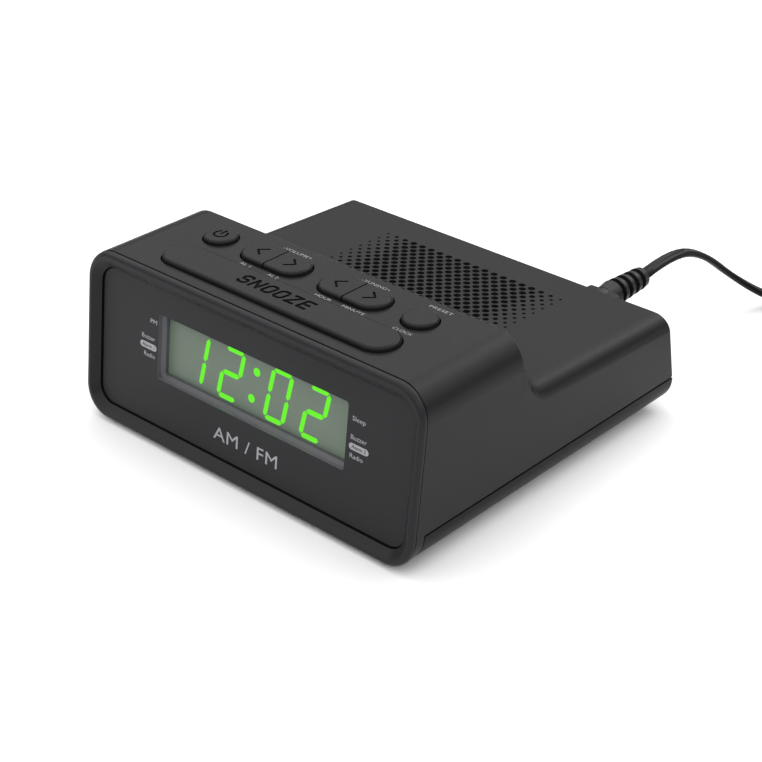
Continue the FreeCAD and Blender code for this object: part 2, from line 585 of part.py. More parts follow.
# ------------------------------------------------------------------ bezel, panel and display, flat on the leaning front
FACE_MID = "dims.face_height/2"
PANEL_MID = "(dims.panel_low+dims.panel_high)/2"
PANEL_TALL = "(dims.panel_high-dims.panel_low)"
OPEN = ("rounded", 0, PANEL_MID, "dims.panel_width+2*dims.panel_gap", PANEL_TALL + "+2*dims.panel_gap", "dims.panel_corner+dims.panel_gap")

front_bezel = node(new_body("front_bezel"))
pad(front_bezel, "XY_Plane", [("rounded", 0, FACE_MID, "dims.body_width", "dims.face_height", "dims.block_corner", "dims.block_top_corner"), OPEN],
    "dims.seam_offset-dims.bezel_gap", offset="-(dims.seam_offset-dims.bezel_gap)")
LIP = ("rounded", 0, 26.3, "dims.body_width-2*(dims.wall+0.25)", 46.0, 6.2, 7.0)
pad(front_bezel, "XY_Plane", [LIP, OPEN], "dims.bezel_lip_depth-1.2", offset="-dims.bezel_lip_depth")
pad(front_bezel, "XY_Plane", [LIP, ("rounded", 0, PANEL_MID, "dims.panel_width-2*dims.ledge_width", PANEL_TALL + "-2*dims.ledge_width", "dims.panel_corner-1")],
    "dims.bezel_lip_depth-dims.panel_sink-dims.panel_thick-0.05", offset="-dims.bezel_lip_depth")
doc.recompute()


def ring_edge(width, tall, mid, z):
    def test(e):
        if not level(e, z):
            return False
        b = e.BoundBox
        cx, cy = e.CenterOfMass.x, e.CenterOfMass.y - mid
        return abs(abs(cx) - width / 2) < 3.2 or abs(abs(cy) - tall / 2) < 3.2
    return test


def outer_front(e):
    if not level(e, 0):
        return False
    c = e.CenterOfMass
    w, t = dim("body_width") / 2, dim("face_height") / 2
    return abs(abs(c.x) - w) < 1e-3 or abs(abs(c.y - t) - t) < 1e-3 or (abs(c.x) > w - 3.5 and abs(c.y - t) > t - 3.5 and e.Length > 11)


def inner_front(e):
    return level(e, 0) and not outer_front(e)


dress(front_bezel, "Fillet", outer_front, "dims.bezel_round")
bevel = dress(front_bezel, "Chamfer", inner_front, "dims.bezel_bevel_wide")
bevel.ChamferType = 1
bevel.setExpression("Size", "dims.bezel_bevel_wide")
bevel.setExpression("Size2", "dims.bezel_bevel_deep")
doc.recompute()
tops = [round(f.CenterOfMass.z, 2) for f in front_bezel.Shape.Faces]
leaning(front_bezel, Y0, Z0)

front_panel = node(new_body("front_panel"))
WIN_MID = "(dims.window_left+dims.window_right)/2"
WIN_V = "(dims.window_low+dims.window_high)/2"
WIN_W, WIN_H = "(dims.window_right-dims.window_left)", "(dims.window_high-dims.window_low)"
pad(front_panel, "XY_Plane", [("rounded", 0, PANEL_MID, "dims.panel_width", PANEL_TALL, "dims.panel_corner"),
                              ("rounded", WIN_MID, WIN_V, WIN_W, WIN_H, "dims.window_corner")],
    "dims.panel_thick", offset="-dims.panel_sink-dims.panel_thick")
leaning(front_panel, Y0, Z0)

display_holder = node(new_body("display_holder"))
HOLD_FRONT = "dims.panel_sink+dims.panel_thick+0.05"
pad(display_holder, "XY_Plane", [("rounded", WIN_MID, WIN_V, WIN_W + "+2*dims.holder_wall", WIN_H + "+2*dims.holder_wall", 1.6),
                                 ("rounded", WIN_MID, WIN_V, WIN_W + "-2*dims.holder_step", WIN_H + "-2*dims.holder_step", 0.8)],
    "dims.holder_back-(%s)" % HOLD_FRONT, offset="-dims.holder_back")
hold_z = -val(HOLD_FRONT)


def window_edge(e):
    c = e.CenterOfMass
    wide = val(WIN_W) / 2 - dim("holder_step") + 0.05
    tall = val(WIN_H) / 2 - dim("holder_step") + 0.05
    return level(e, hold_z) and abs(c.x - val(WIN_MID)) < wide and abs(c.y - val(WIN_V)) < tall


slope = dress(display_holder, "Chamfer", window_edge, "dims.holder_step")
leaning(display_holder, Y0, Z0)

FIT = "2*dims.holder_step+0.1"
display_filter = node(new_body("display_filter"))
pad(display_filter, "XY_Plane", [("rounded", WIN_MID, WIN_V, "%s-(%s)" % (WIN_W, FIT), "%s-(%s)" % (WIN_H, FIT), 0.7)],
    "dims.filter_thick", offset="-dims.display_sink-dims.filter_thick")
leaning(display_filter, Y0, Z0)

display_module = node(new_body("display_module"))
pad(display_module, "XY_Plane", [("rounded", WIN_MID, WIN_V, "%s-(%s)-0.2" % (WIN_W, FIT), "%s-(%s)-0.2" % (WIN_H, FIT), 0.6)],
    "dims.module_thick", offset="-dims.display_sink-dims.filter_thick-0.02-dims.module_thick")
leaning(display_module, Y0, Z0)

# the digits stand a hair proud of the filter; each lit bar is a separate solid with pointed ends
hc, half = (dim("digit_height") - dim("stroke")) / 2, dim("digit_width") / 2
slant = math.tan(math.radians(dim("digit_slant")))
SEG = {"a": ((-half, hc), (half, hc)), "g": ((-half, 0), (half, 0)), "d": ((-half, -hc), (half, -hc)),
       "b": ((half, 0), (half, hc)), "c": ((half, -hc), (half, 0)),
       "f": ((-half, 0), (-half, hc)), "e": ((-half, -hc), (-half, 0))}


def bar(ends, where, low, high):
    """A flat bar with pointed ends, short of the two corners by the gap, leaning with the digit."""
    (ax, ay), (bx, by) = ends
    size, w, g = math.hypot(bx - ax, by - ay), dim("stroke") / 2, dim("bar_gap")
    ux, uy = (bx - ax) / size, (by - ay) / size
    out = []
    for along, side in ((g, 0), (g + w, w), (size - g - w, w), (size - g, 0), (size - g - w, -w), (g + w, -w)):
        x, y = ax + ux * along - uy * side, ay + uy * along + ux * side
        out.append(V(where + x + y * slant, dim("digit_middle") + y, low))
    return Part.Face(Part.makePolygon(out + [out[0]])).extrude(V(0, 0, high - low))


bars = []
for where, lit in (("digit_one", "bc"), ("digit_two", "abged"), ("digit_three", "abcdef"), ("digit_four", "abged")):
    for name in lit:
        bars.append(bar(SEG[name], dim(where), -dim("display_sink") + 0.01, -dim("display_sink") + 0.09))
for up in (1, -1):
    y = dim("colon_spread") * up
    bars.append(Part.makeCylinder(dim("dot_radius"), 0.08, V(dim("colon_middle") + y * slant, dim("digit_middle") + y, -dim("display_sink") + 0.01)))
display_digits = node(solid_feature("display_digits", Part.makeCompound(bars)))
leaning(display_digits, Y0, Z0)

display_board = node(new_body("display_board"))
pad(display_board, "XY_Plane", [("rounded", WIN_MID, WIN_V, "%s-(%s)-0.2" % (WIN_W, FIT), "%s-(%s)-0.2" % (WIN_H, FIT), 0.6)],
    "dims.board_thick", offset="-dims.holder_back")
leaning(display_board, Y0, Z0)
doc.recompute()
for b in (front_bezel, front_panel, display_holder, display_filter, display_module, display_board, display_digits):
    print(b.Label, b.Shape.isValid(), len(b.Shape.Solids), round(b.Shape.Volume, 1), b.Shape.BoundBox)
print("bezel faces", tops)

# ------------------------------------------------------------------ buttons
TOP = "%s+dims.block_height" % Z0
FLANGE_LOW = "-(dims.wall+dims.flange_drop+dims.flange_thick)"
STEM_LOW = "dims.key_board_top+dims.switch_height+1.15-dims.block_height"


def cap(label, outline, rise, easing, stems):
    """A button cap: body through the roof, flange under it, stems down to the switches."""
    b = new_body(label)
    kind, cx, cy = outline[0], outline[1], outline[2]
    if kind == "circle":
        body_line = ("circle", cx, cy, "(%s)-%s" % (outline[3], LOOSE))
        flange_line = ("circle", cx, cy, "(%s)+dims.flange_wide" % outline[3])
    else:
        body_line = ("rounded", cx, cy, "(%s)-2*%s" % (outline[3], LOOSE), "(%s)-2*%s" % (outline[4], LOOSE), "(%s)/2-%s-0.02" % (outline[4], LOOSE))
        flange_line = ("rounded", cx, cy, "(%s)+2*dims.flange_wide" % outline[3], "(%s)+2*dims.flange_wide" % outline[4], "(%s)/2+dims.flange_wide-0.02" % outline[4])
    pad(b, "XY_Plane", [flange_line], "dims.flange_thick", offset=FLANGE_LOW)
    pad(b, "XY_Plane", [body_line], "(%s)-(%s)" % (rise, FLANGE_LOW), offset=FLANGE_LOW)
    doc.recompute()
    zt = val(rise)
    dress(b, "Fillet", lambda e: level(e, zt), easing)
    pad(b, "XY_Plane", [("circle", x, y, "dims.stem_radius") for x, y in stems], "(%s)-(%s)+0.2" % (FLANGE_LOW, STEM_LOW), offset=STEM_LOW)
    return place(b, 0, Y0, TOP)


def engrave(label, cap_object, lines, rise, wide="engrave_width"):
    tool = solid_feature(label + "_mark", strokes(lines, dim(wide), val(rise) - dim("engrave_depth"), val(rise) + 2))
    tool.Placement = FreeCAD.Placement(V(0, val(Y0), val(TOP)), FreeCAD.Rotation())
    return cut(label, cap_object, tool)


def half_box(label, mid, sign):
    lo, hi = ("-dims.split_gap/2-30", "-dims.split_gap/2") if sign < 0 else ("dims.split_gap/2", "dims.split_gap/2+30")
    return box(label, ("%s+(%s)" % (mid, lo), "%s+(%s)" % (mid, hi)), (Y0, Y0 + "+60"), (Z0 + "+30", Z0 + "+70"))


row = dim("row_depth")
round_hole = "dims.round_hole_radius"
px, cx_ = dim("power_mid"), dim("clock_mid")
power_cap = cap("power_cap", ("circle", "dims.power_mid", "dims.row_depth", round_hole), "dims.cap_rise", "dims.cap_round", [("dims.power_mid", "dims.row_depth")])
arc = [(px + 2.0 * math.sin(math.radians(a)), row + 2.0 * math.cos(math.radians(a))) for a in range(40, 321, 20)]
power_button = node(engrave("power_button", power_cap, [arc, [(px, row + 0.2), (px, row + 2.4)]], "dims.cap_rise"))
clock_button = node(cap("clock_button", ("circle", "dims.clock_mid", "dims.row_depth", round_hole), "dims.cap_rise", "dims.cap_round", [("dims.clock_mid", "dims.row_depth")]))
QUARTER = "dims.pill_length/4"
for word, mid in (("volume", "dims.volume_mid"), ("tuning", "dims.tuning_mid")):
    c = cap(word + "_cap", ("rounded", mid, "dims.row_depth", "dims.pill_length", "dims.pill_width"), "dims.cap_rise", "dims.cap_round",
            [("%s-%s" % (mid, QUARTER), "dims.row_depth"), ("%s+%s" % (mid, QUARTER), "dims.row_depth")])
    m = val(mid)
    for sign, end in ((-1, "down"), (1, "up")):
        k = m + sign * 6.0
        piece = common("%s_%s_cap" % (word, end), c, half_box("%s_%s_half" % (word, end), mid, sign))
        chevron = [(k - sign * 1.1, row + 2.1), (k + sign * 1.3, row), (k - sign * 1.1, row - 2.1)]
        node(engrave("%s_%s_button" % (word, end), piece, [chevron], "dims.cap_rise"))
snooze_cap = cap("snooze_cap", ("rounded", "dims.snooze_mid", "dims.snooze_depth", "dims.snooze_length", "dims.snooze_width"), "dims.snooze_rise", "dims.snooze_round",
                 [("dims.snooze_mid", "dims.snooze_depth")])
# the word on the bar, in plain straight strokes
sy = dim("snooze_depth")


def letter(points, x, size=1.0, lean=0.18):
    return [[(x + (a + b * lean) * size, sy + (b - 2.1) * size) for a, b in line] for line in points]


GLYPH = {
    "S": [[(3.0, 3.5), (2.4, 4.1), (0.8, 4.1), (0.2, 3.5), (0.2, 2.7), (0.8, 2.1), (2.4, 2.1), (3.0, 1.5), (3.0, 0.7), (2.4, 0.1), (0.8, 0.1), (0.2, 0.7)]],
    "N": [[(0.2, 0.1), (0.2, 4.1), (3.0, 0.1), (3.0, 4.1)]],
    "O": [[(0.9, 0.1), (0.2, 0.8), (0.2, 3.4), (0.9, 4.1), (2.3, 4.1), (3.0, 3.4), (3.0, 0.8), (2.3, 0.1), (0.9, 0.1)]],
    "Z": [[(0.2, 4.1), (3.0, 4.1), (0.2, 0.1), (3.0, 0.1)]],
    "E": [[(3.0, 4.1), (0.2, 4.1), (0.2, 0.1), (3.0, 0.1)], [(0.2, 2.1), (2.6, 2.1)]],
}
lines = []
for k, ch in enumerate("SNOOZE"):
    lines += letter(GLYPH[ch], -14.0 + 4.6 * k)
snooze_bar = node(engrave("snooze_bar", snooze_cap, lines, "dims.snooze_rise", "word_width"))
doc.recompute()

# switches and their plungers
SWITCH = [("power", "dims.power_mid", "dims.row_depth"), ("volume_down", "dims.volume_mid-" + QUARTER, "dims.row_depth"),
          ("volume_up", "dims.volume_mid+" + QUARTER, "dims.row_depth"), ("tuning_down", "dims.tuning_mid-" + QUARTER, "dims.row_depth"),
          ("tuning_up", "dims.tuning_mid+" + QUARTER, "dims.row_depth"), ("clock", "dims.clock_mid", "dims.row_depth"),
          ("snooze", "dims.snooze_mid", "dims.snooze_depth")]
blocks, bores_ = [], []
for word, x, y in SWITCH:
    blocks.append(box(word + "_switch_block", ("%s-dims.switch_side/2" % x, "%s+dims.switch_side/2" % x),
                      ("%s+%s-dims.switch_side/2" % (Y0, y), "%s+%s+dims.switch_side/2" % (Y0, y)),
                      (Z0 + "+dims.key_board_top", Z0 + "+dims.key_board_top+dims.switch_height")))
    bores_.append(cyl(word + "_switch_bore", "dims.plunger_radius+dims.plunger_clearance", 5, (x, "%s+%s" % (Y0, y), Z0 + "+dims.key_board_top+1.0")))
    node(cyl(word + "_plunger", "dims.plunger_radius", 2.5, (x, "%s+%s" % (Y0, y), Z0 + "+dims.key_board_top+dims.switch_height-1.4")))
switch_blocks = doc.addObject("Part::Compound", "switch_blocks")
switch_blocks.Links = blocks
switch_bores = doc.addObject("Part::Compound", "switch_bores")
switch_bores.Links = bores_
key_switches = node(cut("key_switches", switch_blocks, switch_bores))

# ------------------------------------------------------------------ boards and screws
key_plate = box("key_plate", ("-dims.key_board_half", "dims.key_board_half"), (Y0 + "+12.8", Y0 + "+43.4"), (Z0 + "+dims.key_board_top-dims.board_thick", Z0 + "+dims.key_board_top"))
key_holes, key_screws, lower_holes, board_screws, case_screws, trans_screws = [], [], [], [], [], []
for sx in (-1, 1):
    for d in (16.0, 41.4):
        at = (47.5 * sx, "%s+%s" % (Y0, d))
        key_holes.append(cyl("key_hole", 1.0, 4, at + (Z0 + "+dims.key_board_top-3",)))
        key_screws.append(fuse("key_screw", [cyl("key_head", 1.9, 1.3, at + (Z0 + "+dims.key_board_top-dims.board_thick-1.3",)),
                                             cyl("key_shank", 0.84, "dims.board_thick+3.6", at + (Z0 + "+dims.key_board_top-dims.board_thick-0.1",))]))
    for d in (54, 96):
        at = (44 * sx, "%s+%s" % (Y0, d))
        lower_holes.append(cyl("board_hole", 1.3, 4, at + (Z0 + "+dims.main_board_low-1",)))
        board_screws.append(fuse("board_screw", [cyl("board_head", 2.3, 1.5, at + (Z0 + "+dims.main_board_low+dims.board_thick",)),
                                                 cyl("board_shank", 1.1, 5.6, at + (Z0 + "+dims.main_board_low+dims.board_thick-5.5",))]))
    for d in (27, 97):
        at = (54 * sx, "%s+%s" % (Y0, d))
        case_screws.append(fuse("case_screw", [cyl("case_head", 2.75, 1.9, at + (Z0 + "+2.25",)), cyl("case_shank", 1.25, 14, at + (Z0 + "+4.1",))]))
for d in (16.6, 41.2):
    at = (-30.5, "%s+%s" % (Y0, d))
    trans_screws.append(fuse("trans_screw", [cyl("trans_head", 2.1, 1.4, at + (Z0 + "+6.2",)), cyl("trans_shank", 1.1, 3.4, at + (Z0 + "+2.9",))]))
key_board = node(cut("key_board", key_plate, group("key_hole_set", key_holes)))
main_plate = box("main_plate", (-48, 48), (Y0 + "+50", Y0 + "+100"), (Z0 + "+dims.main_board_low", Z0 + "+dims.main_board_low+dims.board_thick"))
main_board = node(cut("main_board", main_plate, group("main_hole_set", lower_holes)))
node(group("key_board_screws", key_screws))
node(group("main_board_screws", board_screws))
node(group("case_screws", case_screws))
node(group("transformer_screws", trans_screws))
BT = "%s+dims.main_board_low+dims.board_thick" % Z0
node(group("capacitors", [cyl("cap_one", 5, 16, (-40, Y0 + "+64", BT)), cyl("cap_two", 4, 11, (-41, Y0 + "+84", BT)),
                          cyl("cap_three", 4, 12, (42, Y0 + "+66", BT)), cyl("cap_four", 5, 14, (40, Y0 + "+84", BT))]))
node(group("board_chips", [box("tuner_chip", (-12, 12), (Y0 + "+58", Y0 + "+66"), (BT, BT + "+3")),
                           box("amplifier_chip", (15, 25), (Y0 + "+84", Y0 + "+91"), (BT, BT + "+3"))]))
ribbon = node(new_body("ribbon_cable"))
# a flat cable, drawn in side view, from under the key board down to the main board
pad(ribbon, "YZ_Plane", [("polygon", [(41.0, 41.15), (41.0, 24.0), (52.0, 24.0), (52.0, 8.65), (52.6, 8.65), (52.6, 24.6), (41.6, 24.6), (41.6, 41.15)])], 10)
place(ribbon, 30, Y0, Z0)

# ------------------------------------------------------------------ speaker, hung under the deck
SM, SD = "dims.speaker_mid", "dims.speaker_depth"


def deck_cyl(label, r, top, low):
    return on_deck(cyl(label, r, "(%s)-(%s)" % (ex(low), ex(top)), (0, 0, 0)), SM, SD, low)


def deck_cone(label, r_low, r_top, top, low):
    return on_deck(cone(label, r_low, r_top, "(%s)-(%s)" % (ex(low), ex(top)), (0, 0, 0)), SM, SD, low)


rim = cut("speaker_rim", deck_cyl("rim_out", "dims.speaker_radius", 2.4, 3.6), deck_cyl("rim_in", 25.5, 2.0, 4.0))
basket = cut("basket", deck_cone("basket_out", 16.0, 27.0, 3.5, 12.4), deck_cone("basket_in", 15.2, 26.2, 3.4, 12.5))
back_plate = cut("basket_back", deck_cyl("back_out", 16.0, 12.0, 12.8), deck_cyl("back_in", 6.9, 11.0, 13.5))
basket_windows = []
for k in range(4):
    w = box("basket_window_%d" % (k + 1), (0, 1), (0, 1), (0, 1))
    for prop in ("Length", "Width", "Height", "Placement.Base.x", "Placement.Base.y", "Placement.Base.z"):
        w.setExpression(prop, None)
    w.Length, w.Width, w.Height = 40, 9, 5.0
    turn = DECK_TURN.multiply(FreeCAD.Rotation(V(0, 0, 1), 45 + 90 * k))
    base = V(dim("speaker_mid"), val(Y0) + dim("block_depth") + (dim("speaker_depth") - dim("block_depth")), 0)
    run = (dim("speaker_depth") - dim("block_depth")) / math.cos(math.radians(dim("deck_fall")))
    t = math.radians(dim("deck_fall"))
    base = V(dim("speaker_mid"), val(Y0) + dim("block_depth") + run * math.cos(t) - 10.6 * math.sin(t),
             val(Z0) + dim("deck_front_height") - run * math.sin(t) - 10.6 * math.cos(t))
    w.Placement = FreeCAD.Placement(base + turn.multVec(V(0, -4.5, 0)), turn)
    basket_windows.append(w)
basket_all = fuse("basket_all", [rim, basket, back_plate])
window_set = doc.addObject("Part::MultiFuse", "window_set")
window_set.Shapes = basket_windows
speaker_frame = node(cut("speaker_frame", basket_all, window_set))
surround = cut("surround", deck_cyl("surround_out", 25.4, 3.0, 3.5), deck_cyl("surround_in", 23.0, 2.5, 4.0))
paper = cut("paper", deck_cone("paper_out", 6.4, 23.4, 3.1, 10.6), deck_cone("paper_in", 5.9, 22.9, 3.05, 10.65))
speaker_cone = node(fuse("speaker_cone", [surround, paper]))
cap_ball = Part.makeSphere(8.6, V(0, 0, -5.9), V(0, 0, 1), 0, 90, 360).common(Part.makeCylinder(6.3, 10, V(0, 0, 0)))
dust_cap = node(solid_feature("dust_cap", cap_ball))
on_deck(dust_cap, SM, SD, 9.7)
coil_tube = cut("voice_coil_tube", deck_cyl("voice_out", 6.4, 10.75, 15.5), deck_cyl("voice_in", 6.0, 10.0, 16.0))
voice_coil = node(coil_tube)
voice_coil.Label = "voice_coil"
magnet_ring = cut("magnet_ring", deck_cyl("magnet_out", 15.0, 12.85, 18.4), deck_cyl("magnet_in", 6.9, 12.0, 16.5))
pole = deck_cyl("pole_piece", 5.5, 12.9, 16.6)
speaker_magnet = node(fuse("speaker_magnet", [magnet_ring, pole]))
spk_screws = []
for k, turn in enumerate((30, 150, 270)):
    x = dim("speaker_mid") + 30.7 * math.cos(math.radians(turn))
    d = dim("speaker_depth") + 30.7 * math.sin(math.radians(turn))
    head = on_deck(cyl("speaker_head_%d" % k, 2.6, 1.2, (0, 0, 0)), x, d, 4.85)
    shank = on_deck(cyl("speaker_shank_%d" % k, 0.84, 2.4, (0, 0, 0)), x, d, 3.75)
    spk_screws.append(fuse("speaker_screw_%d" % k, [head, shank]))
node(group("speaker_screws", spk_screws))

# ------------------------------------------------------------------ transformer
core_box = box("core_box", (-48, -13), (Y0 + "+24", Y0 + "+38"), (Z0 + "+6.25", Z0 + "+35.25"))
core_windows = [box("core_window_left", (-42.2, -36.4), (Y0 + "+20", Y0 + "+42"), (Z0 + "+12", Z0 + "+29.5")),
                box("core_window_right", (-24.6, -18.8), (Y0 + "+20", Y0 + "+42"), (Z0 + "+12", Z0 + "+29.5"))]
node(cut("transformer_core", core_box, group("core_window_set", core_windows)))
node(cut("transformer_winding", box("bobbin_box", (-42.1, -18.9), (Y0 + "+18.5", Y0 + "+43.3"), (Z0 + "+12.1", Z0 + "+29.4")),
         box("bobbin_hole", (-36.5, -24.5), (Y0 + "+23.9", Y0 + "+38.1"), (Z0 + "+5", Z0 + "+35"))))
bracket_plate = box("bracket_plate", (-47, -14), (Y0 + "+14", Y0 + "+43.6"), (Z0 + "+5.0", Z0 + "+6.2"))
node(cut("transformer_bracket", bracket_plate, group("bracket_holes", [cyl("bracket_hole_a", 1.3, 4, (-30.5, Y0 + "+16.6", Z0 + "+4")), cyl("bracket_hole_b", 1.3, 4, (-30.5, Y0 + "+41.2", Z0 + "+4"))])))

# ------------------------------------------------------------------ antenna
ROD = (Y0 + "+106.4", Z0 + "+17")
node(cyl("ferrite_rod", 4.0, 45, (-50, ROD[0], ROD[1]), axis="x"))
node(cut("antenna_coil", cyl("coil_out", 5.4, 18, (-41, ROD[0], ROD[1]), axis="x"), cyl("coil_in", 4.06, 22, (-43, ROD[0], ROD[1]), axis="x")))
holders = [box("holder_left", (-47.5, -45), (Y0 + "+101.2", Y0 + "+111.6"), (Z0 + "+2.95", Z0 + "+22.4")),
           box("holder_right", (-12, -9.5), (Y0 + "+101.2", Y0 + "+111.6"), (Z0 + "+2.95", Z0 + "+22.4"))]
node(cut("antenna_clips", group("clip_blocks", holders), cyl("clip_bore", 4.05, 60, (-55, ROD[0], ROD[1]), axis="x")))

# ------------------------------------------------------------------ battery bay
door = node(new_body("battery_door"))
pad(door, "XY_Plane", [("rounded", 23, "18+0.3+22.4/2", 45.4, 22.4, 0.6)], 1.8, offset=0.1)
pocket(door, "XY_Plane", [("rounded", 23, 36.0, 9, 3.0, 1.4)], 0.9, offset=0.1, flip=True)
place(door, 0, Y0, Z0)
node(group("battery_contacts", [box("contact_a", (0.05, 0.45), (Y0 + "+20", Y0 + "+28.5"), (Z0 + "+4", Z0 + "+12.5")),
                                box("contact_b", (0.05, 0.45), (Y0 + "+30.5", Y0 + "+39"), (Z0 + "+4", Z0 + "+12.5")),
                                box("contact_c", (45.55, 45.95), (Y0 + "+20", Y0 + "+39"), (Z0 + "+4", Z0 + "+12.5"))]))
rings = []
for d in (24.2, 34.8):
    for k, r in enumerate((3.4, 2.7, 2.0)):
        t = Part.makeTorus(r, 0.3, V(45.2 - 1.35 * k, val(Y0) + d, val(Z0) + 8.2), V(1, 0, 0))
        rings.append(t)
    rings.append(Part.makeCylinder(0.3, 1.0, V(45.2, val(Y0) + d + 3.4, val(Z0) + 8.2), V(-1, 0, 0)))
spring_left = Part.makeCone(3.6, 1.6, 4.4, V(45.5, val(Y0) + 24.2, val(Z0) + 8.2), V(-1, 0, 0))
spring_right = Part.makeCone(3.6, 1.6, 4.4, V(45.5, val(Y0) + 34.8, val(Z0) + 8.2), V(-1, 0, 0))
hollow_left = Part.makeCone(3.0, 1.0, 4.6, V(45.5, val(Y0) + 24.2, val(Z0) + 8.2), V(-1, 0, 0))
hollow_right = Part.makeCone(3.0, 1.0, 4.6, V(45.5, val(Y0) + 34.8, val(Z0) + 8.2), V(-1, 0, 0))
node(solid_feature("battery_springs", Part.makeCompound([spring_left.cut(hollow_left), spring_right.cut(hollow_right)])))
feet = []
for x, d, word in ((-50, 12, "fl"), (50, 12, "fr"), (-48, 107, "rl"), (48, 107, "rr")):
    feet.append(cyl("foot_" + word, 4.0, "dims.foot_height+0.55", (x, "%s+%s" % (Y0, d), 0)))
node(group("rubber_feet", feet))

# ------------------------------------------------------------------ strain relief and cord
RX, RZ = "dims.relief_side", Z0 + "+dims.relief_height"


def relief_part(label, r1, r2, d0, d1):
    return cone(label, r1, r2, d1 - d0, (RX, "%s+%s" % (Y0, d0), RZ), axis="y") if r1 != r2 else cyl(label, r1, d1 - d0, (RX, "%s+%s" % (Y0, d0), RZ), axis="y")


relief = [cut("relief_stop", relief_part("relief_inner", 5.2, 5.2, 109.4, 111.4), box("relief_flat", (20, 60), (Y0 + "+100", Y0 + "+114"), (28.9, 40))),
          relief_part("relief_neck", 3.5, 3.5, 111.3, 118.2),
          relief_part("relief_base", 3.6, 4.2, 118.05, 122.3), relief_part("relief_core", 2.6, 2.35, 118.1, 136.8),
          relief_part("relief_ring_a", 4.05, 3.95, 124.3, 125.9), relief_part("relief_ring_b", 3.85, 3.75, 127.9, 129.5),
          relief_part("relief_ring_c", 3.65, 3.55, 131.5, 133.1), relief_part("relief_collar", 3.5, 3.2, 135.0, 137.2)]
node(fuse("strain_relief", relief))

# the route of the cord, end to end: out of the relief, down to the floor, to the coil
tip = V(dim("relief_side"), val(Y0) + 137.2, val(RZ))
ROUTE = [(tip.x, tip.y, tip.z), (37.5, 93.5, 30.2), (38.6, 109.5, 25.5), (43.0, 124.0, 12.5), (51.0, 136.6, 2.6), (60.2, 147.1, 1.4), (70.6, 158.0, 1.65)]
LEAD = [(120.9, 143.1, 8.7), (122.9, 133.2, 8.6), (124.2, 123.5, 7.6), (124.6, 114.4, 6.5)]


def route_wire(points):
    """Straight runs joined by tangent arcs, each arc as large as its two runs allow."""
    p = [V(*q) for q in points]
    edges, start, radii = [], p[0], []
    for a, b, c in zip(p[:-2], p[1:-1], p[2:]):
        u, w = (b - a), (c - b)
        reach = 0.45 * min(u.Length, w.Length)
        u.normalize()
        w.normalize()
        turn = u.getAngle(w)
        radius = reach / math.tan(turn / 2)
        radii.append(round(radius, 1))
        first, last = b - u * reach, b + w * reach
        side = (w - u)
        side.normalize()
        centre = b + side * (radius / math.cos(turn / 2))
        middle = centre - side * radius
        edges.append(Part.LineSegment(start, first).toShape())
        edges.append(Part.Arc(first, middle, last).toShape())
        start = last
    edges.append(Part.LineSegment(start, p[-1]).toShape())
    return Part.Wire(edges), radii


def flat_cord(points):
    wire, radii = route_wire(points)
    p = [V(*q) for q in points]
    along = p[1] - p[0]
    along.normalize()
    side = along.cross(V(0, 0, 1))
    side.normalize()
    up = side.cross(along)
    a, b = dim("cord_across") / 2, dim("cord_thick") / 2
    flat = a - b
    q = [p[0] + side * flat + up * b, p[0] + side * a, p[0] + side * flat - up * b,
         p[0] - side * flat - up * b, p[0] - side * a, p[0] - side * flat + up * b]
    section = Part.Wire([Part.Arc(q[0], q[1], q[2]).toShape(), Part.LineSegment(q[2], q[3]).toShape(),
                         Part.Arc(q[3], q[4], q[5]).toShape(), Part.LineSegment(q[5], q[0]).toShape()])
    shell = Part.BRepOffsetAPI.MakePipeShell(wire)
    shell.setFrenetMode(False)
    shell.add(section)
    shell.build()
    shell.makeSolid()
    shape = shell.shape()
    area = Part.Face(section).Area
    print("cord", "length", round(wire.Length, 1), "radii", radii, "volume ratio", round(shape.Volume / (area * wire.Length), 4), shape.isValid())
    return shape


power_cord = node(solid_feature("power_cord", flat_cord(ROUTE)))
plug_lead = node(solid_feature("plug_lead", flat_cord(LEAD)))
CC = ("dims.coil_side", "dims.coil_back")
node(cut("cord_coil", cyl("coil_outer_wall", "dims.coil_outer", "dims.coil_high-dims.coil_low", CC + ("dims.coil_low",)),
         cyl("coil_inner_wall", "dims.coil_inner", 20, CC + (-5,))))
tie = cut("cord_tie", box("tie_out", (17.4, 32.7), (-2, 2), (0, 10.5)), box("tie_in", (18.0, 32.1), (-3, 3), (0.4, 10.05)))
tie.Placement = FreeCAD.Placement(V(dim("coil_side"), dim("coil_back"), 0), FreeCAD.Rotation(V(0, 0, 1), -75))
node(tie)
plug = node(new_body("plug_body"))
pad(plug, "XZ_Plane", [("rounded", 0, 0, 24, 12.8, 5.4)], 21)
sk = plug.Tip
dress(plug, "Fillet", lambda e: abs(e.BoundBox.YMin - e.BoundBox.YMax) < 1e-4, 2.2)
place(plug, 124.6, "104.0", 6.5)
tail = cone("plug_tail", 5.6, 3.4, 11.0, (124.6, 103.4, 6.4), axis="y")
plug_full = fuse("plug_full", [plug, tail])
nodes.remove(plug)
plug.Label = "plug_block"
plug_full.Label = "plug_body"
node(plug_full)
node(group("plug_blades", [box("blade_left", ("124.6-6.35-0.75", "124.6-6.35+0.75"), (66.0, 83.0), (3.35, 9.65)),
                           box("blade_right", ("124.6+6.35-0.75", "124.6+6.35+0.75"), (66.0, 83.0), (3.35, 9.65))]))

